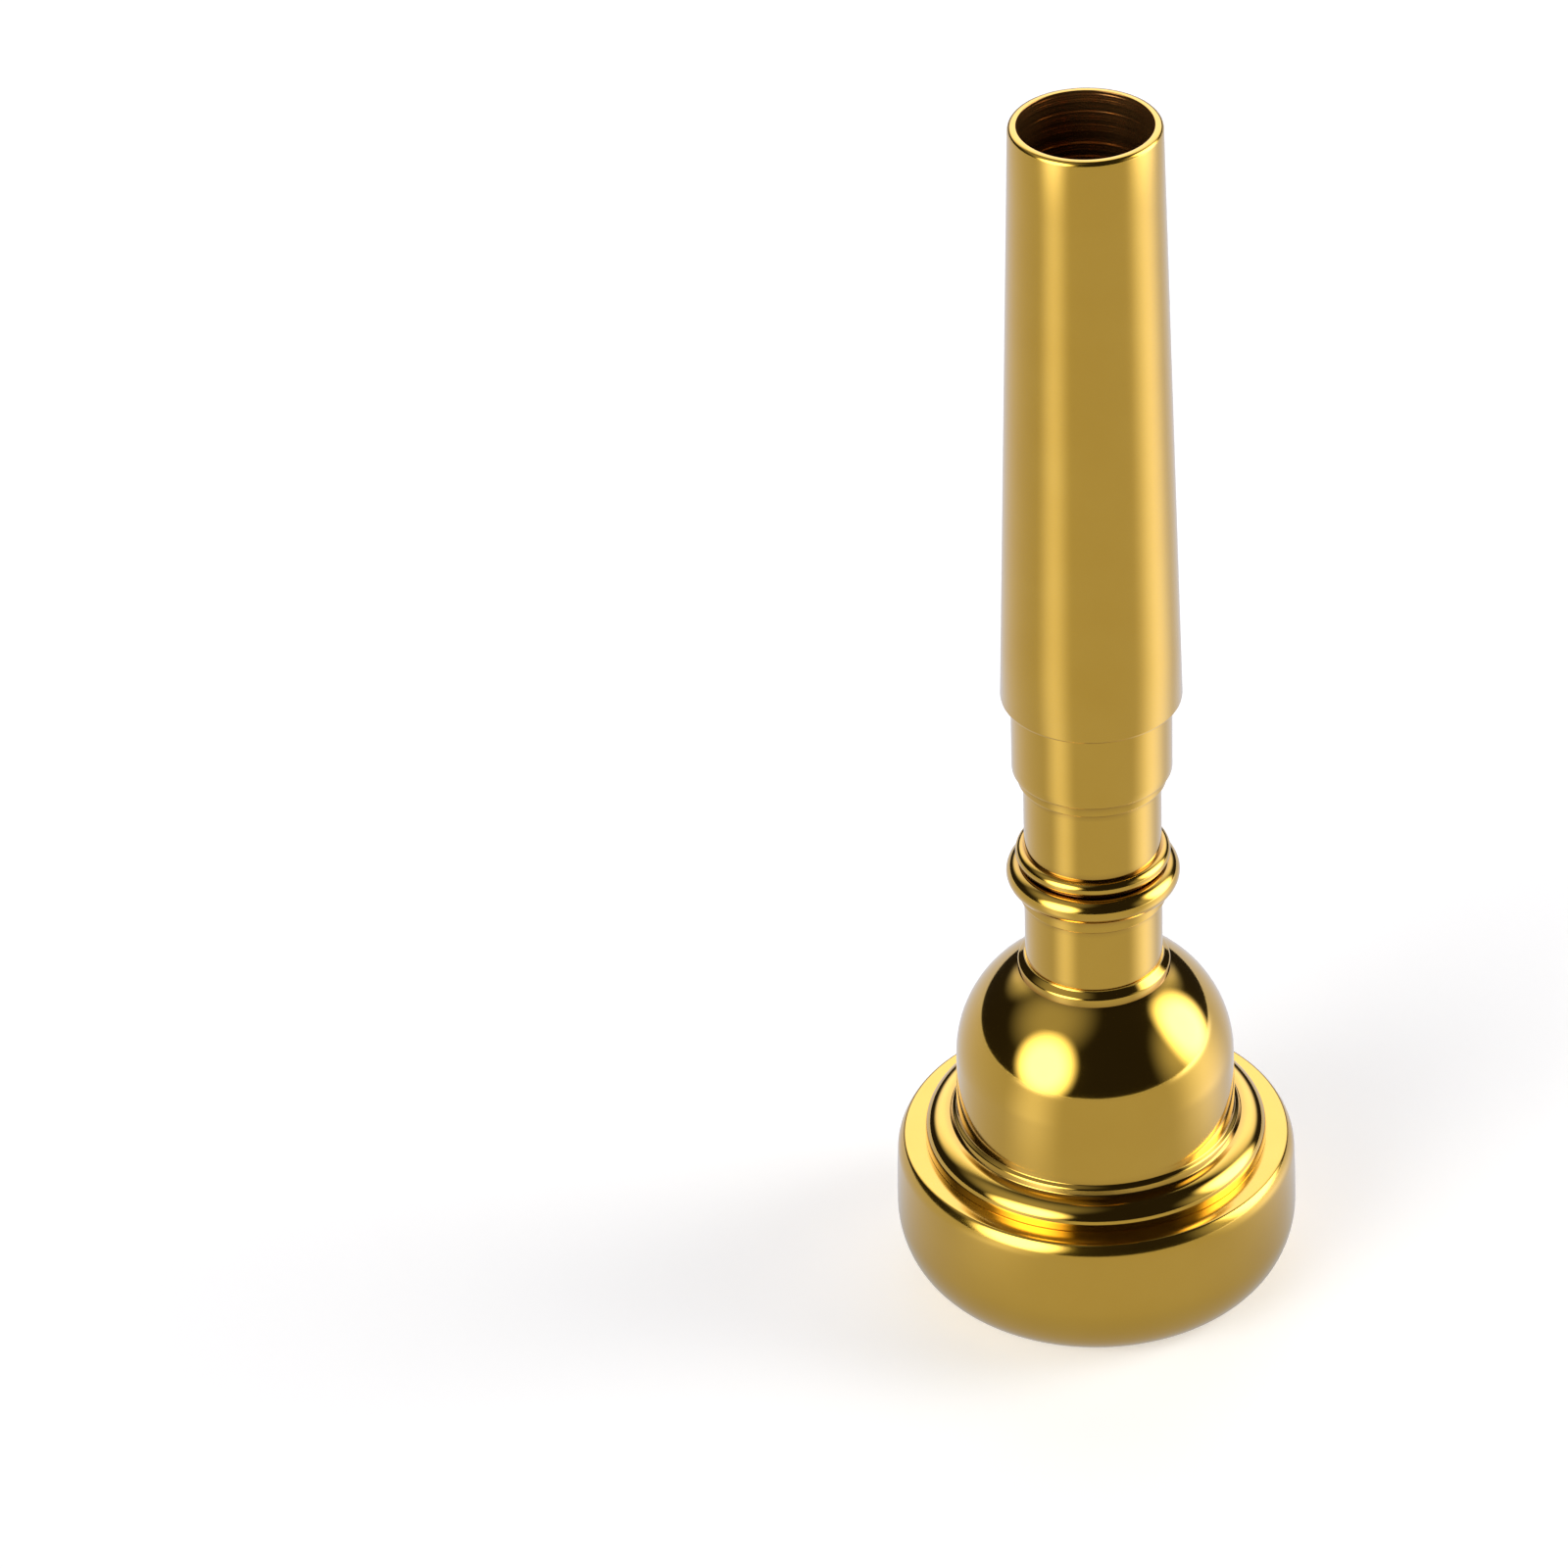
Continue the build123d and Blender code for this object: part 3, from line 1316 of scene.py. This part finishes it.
@dataclass
class Sleeve:
    """Tapered shank that slides over the stem's core tube."""

    bore: Bore
    base: float = field(default_factory=lambda: reach_of("shank_sleeve"))
    end: float = 4.86
    end_round: float = 0.28
    inner: float = 4.43
    entry_chamfer: float = 0.2
    end_gap: float = 0.05
    base_round: float = 0.22
    mouth_break: float = 0.06
    mouth_land: float = 0.1

    def outline(self) -> Outline:
        """Draw the sleeve's half-section.

        Returns:
            The closed outline.
        """
        foot = foot_of("shank_sleeve")
        top = top_of("shank_sleeve")
        shoulder = top_of("backbore") + self.end_gap
        line = Outline((self.inner + self.entry_chamfer, foot))
        line.to(self.base, foot, self.base_round)
        line.to(self.end, top, self.end_round)
        line.to(self.bore.exit, top, self.mouth_break)
        self.bore.down(line, top - self.mouth_land, shoulder)
        line.to(self.inner, shoulder, EDGE_BREAK_MM)
        return line.to(self.inner, foot + self.entry_chamfer, EDGE_BREAK_MM)

    def build(self, finishes: Finishes) -> list[bpy.types.Object]:
        """Turn the sleeve and give it its finish.

        Args:
            finishes: the object's materials.

        Returns:
            The sleeve.
        """
        lathe = Lathe("sleeve")
        sleeve = lathe.turn("turned_sleeve", self.outline())
        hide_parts("shank_sleeve")
        lathe.dress(sleeve, finishes.shank_gold, finishes.bored_brass)
        return [sleeve]


# ---------------------------------------------------------------------------
# Studio and camera
# ---------------------------------------------------------------------------


@dataclass
class Softbox:
    """One soft-edged lamp, at an azimuth (0 in front, 90 at the right) and a height in degrees."""

    name: str
    azimuth_deg: float
    elevation_deg: float
    distance: float
    half_width_deg: float
    half_height_deg: float
    brightness: float
    soft_edge: float = 0.7
    colour: Colour = (1.0, 0.99, 0.96, 1.0)

    def outward(self) -> Vector:
        """Find the direction from the object to the lamp.

        Returns:
            The direction, of length 1.
        """
        azimuth = math.radians(self.azimuth_deg)
        elevation = math.radians(self.elevation_deg)
        level = math.cos(elevation)
        return Vector(
            (math.sin(azimuth) * level, -math.cos(azimuth) * level, math.sin(elevation))
        )

    def half_size(self, half_deg: float) -> float:
        """Half of the lamp's size, from half the angle that it fills."""
        return self.distance * math.tan(math.radians(half_deg))

    def cloth(self) -> bpy.types.Material:
        """Make the glowing cloth, bright in its middle and clear at its edge.

        Returns:
            The node material.
        """
        sheet = NodeSheet(bpy.data.materials.new(self.name))
        glow = sheet.add("Emission", Color=self.colour, Strength=self.brightness)
        clear = sheet.add("BsdfTransparent", Color=WHITE)
        whole = sheet.fade(sheet.length(sheet.place()), 1.0 - self.soft_edge, 1.0)
        return sheet.finish(sheet.join("MixShader", clear, glow, whole))

    def build(self, aim: Vector) -> None:
        """Hang the lamp and point it at the object.

        Args:
            aim: the point that it faces.
        """
        outward = self.outward()
        bpy.ops.mesh.primitive_plane_add(size=2.0, location=aim + outward * self.distance)
        lamp = begin(self.name)
        lamp.scale = (
            self.half_size(self.half_width_deg),
            self.half_size(self.half_height_deg),
            1.0,
        )
        lamp.rotation_mode = "QUATERNION"
        lamp.rotation_quaternion = outward.to_track_quat("Z", "Y")
        lamp.data.materials.append(self.cloth())
        lamp.visible_camera = False
        lamp.visible_shadow = False
        log.info("hung the %s", self.name)


SOFTBOXES = (
    Softbox("left_softbox", -45.0, 20.0, 1.2, 30.0, 35.0, 5.5),
    Softbox("left_halo", -70.0, 55.0, 1.4, 40.0, 40.0, 0.45, 0.9),
    Softbox("right_softbox", 98.0, 19.0, 1.2, 27.0, 36.0, 6.0),
    Softbox("right_halo", 78.0, 12.0, 1.4, 30.0, 36.0, 0.6, 0.9),
    Softbox("back_softbox", 180.0, 36.0, 1.2, 44.0, 24.0, 1.7, 0.7, (1.0, 1.0, 1.2, 1.0)),
)


@dataclass(frozen=True)
class Lobe:
    """A painted pool of light on the grey card, towards one azimuth in degrees."""

    azimuth_deg: float
    half_width_deg: float
    strength: float


@dataclass
class Studio:
    """White table in a white world, with softboxes and the cards that shape the reflections.

    The dark tent and the grey card are seen only in reflections. The camera sees the white table
    with the object's shadow on it. Lengths are in metres, and pairs of a fade are its whole end
    and its clear end.
    """

    aim: Vector = field(default_factory=lambda: Vector((0.0, 0.0, 0.03)))
    table_size: float = 6.0
    table_colour: Colour = (0.8, 0.8, 0.8, 1.0)
    table_lift: float = 0.42
    tent_radius: float = 2.0
    tent_colour: Colour = (0.022, 0.019, 0.017, 1.0)
    window_half_deg: tuple[float, float] = (72.0, 30.0)
    window_height_deg: float = 40.0
    window_fade: tuple[float, float] = (0.55, 1.0)
    card_height: float = 0.0001
    card_radius: float = 1.0
    card_colour: Colour = (1.0, 0.98, 0.95, 1.0)
    card_grey: float = 0.53
    # painted shade: the card's grey near the object's foot
    card_near_grey: float = 0.46
    card_near: tuple[float, float] = (0.0135, 0.022)
    card_back_deg: tuple[float, float] = (140.0, 70.0)
    card_back_lift: float = 0.16
    # painted pools of light on the card, towards the lamps
    lobes: tuple[Lobe, ...] = (Lobe(-47.0, 26.0, 0.48), Lobe(92.0, 38.0, 0.75))
    lobes_from: tuple[float, float] = (0.04, 0.018)
    lobes_far: tuple[float, float] = (0.4, 0.15)
    lobes_far_gain: float = 4.0
    lobe_colour: Colour = (0.96, 1.0, 1.35, 1.0)
    room_colour: Colour = (1.0, 0.97, 0.92, 1.0)
    room_light: float = 0.03

    def seen_only_in_metal(self, piece: bpy.types.Object) -> None:
        """Hide a staged piece from all rays but those that polished metal reflects.

        Args:
            piece: the tent or the card.
        """
        piece.visible_camera = False
        piece.visible_diffuse = False
        piece.visible_shadow = False
        piece.visible_transmission = False

    def table(self) -> None:
        """Lay the pale table, white to the eye and in the metal, with the object's shadow on it.

        It is clear from below, so that the cup's mouth can be seen.
        """
        bpy.ops.mesh.primitive_plane_add(size=self.table_size, location=CENTRE)
        table = begin("table")
        sheet = NodeSheet(bpy.data.materials.new("white_table"))
        paper = sheet.add("BsdfDiffuse", Color=self.table_colour)
        lift = sheet.add("Emission", Color=WHITE, Strength=self.table_lift)
        lifted = sheet.join("AddShader", paper, lift)
        top = sheet.join("MixShader", paper, lifted, sheet.seen())
        clear = sheet.add("BsdfTransparent", Color=WHITE)
        below = sheet.add("NewGeometry").outputs["Backfacing"]
        table.data.materials.append(sheet.finish(sheet.join("MixShader", top, clear, below)))

    def tent(self) -> None:
        """Hang the dark tent round the table, with a wide window at the far side."""
        bpy.ops.mesh.primitive_uv_sphere_add(
            segments=64, ring_count=32, radius=self.tent_radius, location=CENTRE
        )
        tent = begin("dark_tent")
        sheet = NodeSheet(bpy.data.materials.new("dark_tent"))
        place = sheet.add("SeparateXYZ", Vector=sheet.place())
        rise = sheet.math("DIVIDE", place.outputs[2], self.tent_radius)
        height = sheet.math("DEGREES", sheet.math("ARCSINE", rise))
        azimuth = sheet.math("DEGREES", sheet.math("ARCTAN2", place.outputs[0], place.outputs[1]))
        above = sheet.math("SUBTRACT", height, self.window_height_deg)
        off = sheet.add(
            "CombineXYZ",
            X=sheet.math("DIVIDE", azimuth, self.window_half_deg[0]),
            Y=sheet.math("DIVIDE", above, self.window_half_deg[1]),
        )
        cloth = sheet.add("Emission", Color=self.tent_colour, Strength=1.0)
        clear = sheet.add("BsdfTransparent", Color=WHITE)
        window = sheet.fade(sheet.length(off.outputs[0]), *self.window_fade)
        tent.data.materials.append(sheet.finish(sheet.join("MixShader", cloth, clear, window)))
        self.seen_only_in_metal(tent)

    def paleness(
        self, sheet: NodeSheet, azimuth: bpy.types.NodeSocket, reach: bpy.types.NodeSocket
    ) -> bpy.types.NodeSocket:
        """Work out how much painted light the card has towards its lobes and at the back.

        Args:
            sheet: the card's nodes.
            azimuth: a point's azimuth in degrees, 0 in front.
            reach: its distance from the axis.

        Returns:
            The strength of the pale light.
        """
        pale: Feed = 0.0
        for lobe in self.lobes:
            away = sheet.math("ABSOLUTE", sheet.math("SUBTRACT", azimuth, lobe.azimuth_deg))
            share = sheet.fade(away, 0.0, lobe.half_width_deg)
            pale = sheet.math("ADD", pale, sheet.math("MULTIPLY", share, lobe.strength))
        far = sheet.spread(sheet.fade(reach, *self.lobes_far), 1.0, self.lobes_far_gain)
        pale = sheet.math("MULTIPLY", pale, sheet.fade(reach, *self.lobes_from))
        pale = sheet.math("MULTIPLY", pale, far)
        behind = sheet.fade(sheet.math("ABSOLUTE", azimuth), *self.card_back_deg)
        return sheet.math("ADD", pale, sheet.math("MULTIPLY", behind, self.card_back_lift))

    def grey_card(self) -> None:
        """Lay the glowing grey card round the object, seen only in the metal: a painted reflection
        of the table, with painted shade at the object's foot and painted pools of light towards
        the lamps.
        """
        bpy.ops.mesh.primitive_circle_add(
            vertices=96,
            radius=self.card_radius,
            fill_type="NGON",
            location=(0.0, 0.0, self.card_height),
        )
        card = begin("grey_card")
        sheet = NodeSheet(bpy.data.materials.new("grey_card"))
        spot = sheet.place()
        place = sheet.add("SeparateXYZ", Vector=spot)
        reach = sheet.length(spot)
        front = sheet.math("MULTIPLY", place.outputs[1], -1.0)
        azimuth = sheet.math("DEGREES", sheet.math("ARCTAN2", place.outputs[0], front))
        # painted shade: the card glows darker near the object's foot
        near = sheet.fade(reach, *self.card_near)
        grey = sheet.spread(near, self.card_grey, self.card_near_grey)
        plain = sheet.add("Emission", Color=self.card_colour, Strength=grey)
        # painted light: paler lobes towards the lamps and at the back
        pale = self.paleness(sheet, azimuth, reach)
        cool = sheet.add("Emission", Color=self.lobe_colour, Strength=pale)
        card.data.materials.append(sheet.finish(sheet.join("AddShader", plain, cool)))
        self.seen_only_in_metal(card)

    def room(self) -> None:
        """Give the world a dim light, and plain white where the camera and the metal see it."""
        sheet = NodeSheet(bpy.data.worlds.new("room"), "OutputWorld")
        dim = sheet.add("Background", Color=self.room_colour, Strength=self.room_light)
        white = sheet.add("Background", Color=WHITE)
        room = sheet.finish(sheet.join("MixShader", dim, white, sheet.seen()))
        bpy.context.scene.world = room

    def build(self) -> None:
        """Set up the whole studio."""
        deselect_all()
        self.table()
        self.tent()
        self.grey_card()
        self.room()
        for softbox in SOFTBOXES:
            softbox.build(self.aim)
        bpy.context.scene.view_settings.view_transform = "Standard"


@dataclass
class Camera:
    """Long-lens camera that looks down at the object from the front."""

    distance: float = 0.521365
    elevation_deg: float = 33.768
    look_height: float = 0.044
    pan_deg: float = 2.192
    tilt_deg: float = -0.533
    roll_deg: float = -0.596
    lens_mm: float = 184.38
    sensor_mm: float = 36.0
    nearest: float = 0.01
    farthest: float = 20.0

    def build(self) -> None:
        """Place the camera and make it the scene's own."""
        elevation = math.radians(self.elevation_deg)
        forward = Vector((0.0, math.cos(elevation), -math.sin(elevation)))
        up = Vector((0.0, math.sin(elevation), math.cos(elevation)))
        level = Matrix((Vector((1.0, 0.0, 0.0)), up, -forward)).transposed()
        turn = (
            Matrix.Rotation(math.radians(self.roll_deg), 3, "Z")
            @ Matrix.Rotation(math.radians(self.tilt_deg), 3, "X")
            @ Matrix.Rotation(math.radians(self.pan_deg), 3, "Y")
        )
        bpy.ops.object.camera_add()
        camera = bpy.context.object
        camera.name = "camera"
        place = Vector((0.0, 0.0, self.look_height)) - forward * self.distance
        camera.matrix_world = Matrix.Translation(place) @ (level @ turn).to_4x4()
        camera.data.sensor_width = self.sensor_mm
        camera.data.lens = self.lens_mm
        camera.data.clip_start = self.nearest
        camera.data.clip_end = self.farthest
        bpy.context.scene.camera = camera


def main() -> None:
    """Build the object, the studio and the camera, and log each piece's number of faces."""
    logging.basicConfig(level=logging.INFO, format="%(name)s: %(message)s")
    finishes = Finishes()
    bore = Bore()
    rim_fit = ScrewFit(
        crest=10.3, spigot_end=foot_of("cup"), seat=top_of("rim"), seal_section=0.31
    )
    stem_fit = ScrewFit(
        crest=3.7, spigot_end=foot_of("backbore"), seat=top_of("cup"), seal_section=0.22
    )
    rubber = finishes.rubber
    pieces = [
        *Rim(rim_fit, bore).build(finishes),
        *Cup(rim_fit, stem_fit, bore).build(finishes),
        *Stem(stem_fit, bore).build(finishes),
        *Sleeve(bore).build(finishes),
        rim_fit.seal().build("rim_o_ring", "rim_seal", Lathe("rim_seal"), rubber),
        stem_fit.seal().build("stem_o_ring", "stem_seal", Lathe("stem_seal"), rubber),
    ]
    for piece in pieces:
        log.info("%s: %d faces", piece.name, len(piece.data.polygons))
    Studio().build()
    Camera().build()


if __name__ == "__main__":
    main()
